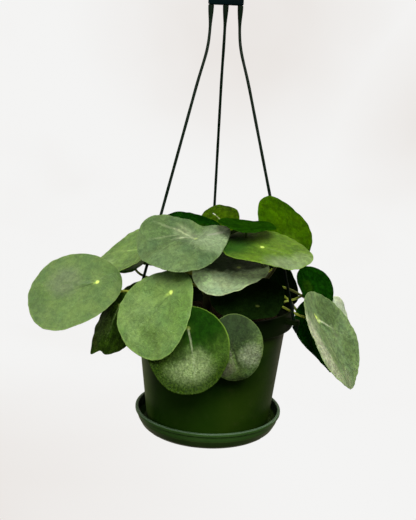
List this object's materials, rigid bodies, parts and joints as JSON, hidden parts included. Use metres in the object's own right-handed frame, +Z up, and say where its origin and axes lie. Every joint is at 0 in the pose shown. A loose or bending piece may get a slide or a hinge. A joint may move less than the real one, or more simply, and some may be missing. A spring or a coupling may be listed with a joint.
{
  "type": "potted pilea plant",
  "caption": "Trailing house plant with round leaves on long petioles, in a round plastic pot with a drip saucer and a stranded plastic hanger with an open hook.",
  "frame": {"origin": "the point at the top of the inside of the hook, where it bears on what it hangs from, on the pot's axis", "axes": "+Z up; -Y is the front, the side that the picture shows; +X to the right as seen from the front"},
  "size_m": [0.3007, 0.2644, 0.4338],
  "materials": {
    "leaf": "smooth, slightly waxy leaf, green above and paler below",
    "stem_bark": "rough brown woody stem",
    "soil": "dark crumbly potting soil",
    "pot_plastic": "smooth dark green moulded plastic",
    "saucer_plastic": "smooth green moulded plastic",
    "hanger_plastic": "satin dark blue-green moulded plastic"
  },
  "bodies": {
    "root": {"pot": "pot_plastic", "saucer": "saucer_plastic", "soil": "soil", "stem_main": "stem_bark", "stem_left": "stem_bark", "stem_right": "stem_bark", "hanger_hub": "hanger_plastic", "strand_front_left": "hanger_plastic", "strand_front_right": "hanger_plastic", "strand_back": "hanger_plastic", "leaf_01": "leaf", "leaf_02": "leaf", "leaf_03": "leaf", "leaf_04": "leaf", "leaf_05": "leaf", "leaf_06": "leaf", "leaf_07": "leaf", "leaf_08": "leaf", "leaf_09": "leaf", "leaf_10": "leaf", "leaf_11": "leaf", "leaf_12": "leaf", "leaf_13": "leaf", "leaf_14": "leaf", "leaf_15": "leaf", "leaf_16": "leaf", "leaf_17": "leaf", "leaf_18": "leaf", "leaf_19": "leaf", "leaf_20": "leaf", "leaf_21": "leaf", "leaf_22": "leaf", "leaf_23": "leaf", "leaf_24": "leaf", "leaf_25": "leaf", "leaf_26": "leaf", "leaf_27": "leaf", "leaf_28": "leaf"}
  },
  "joints": []
}
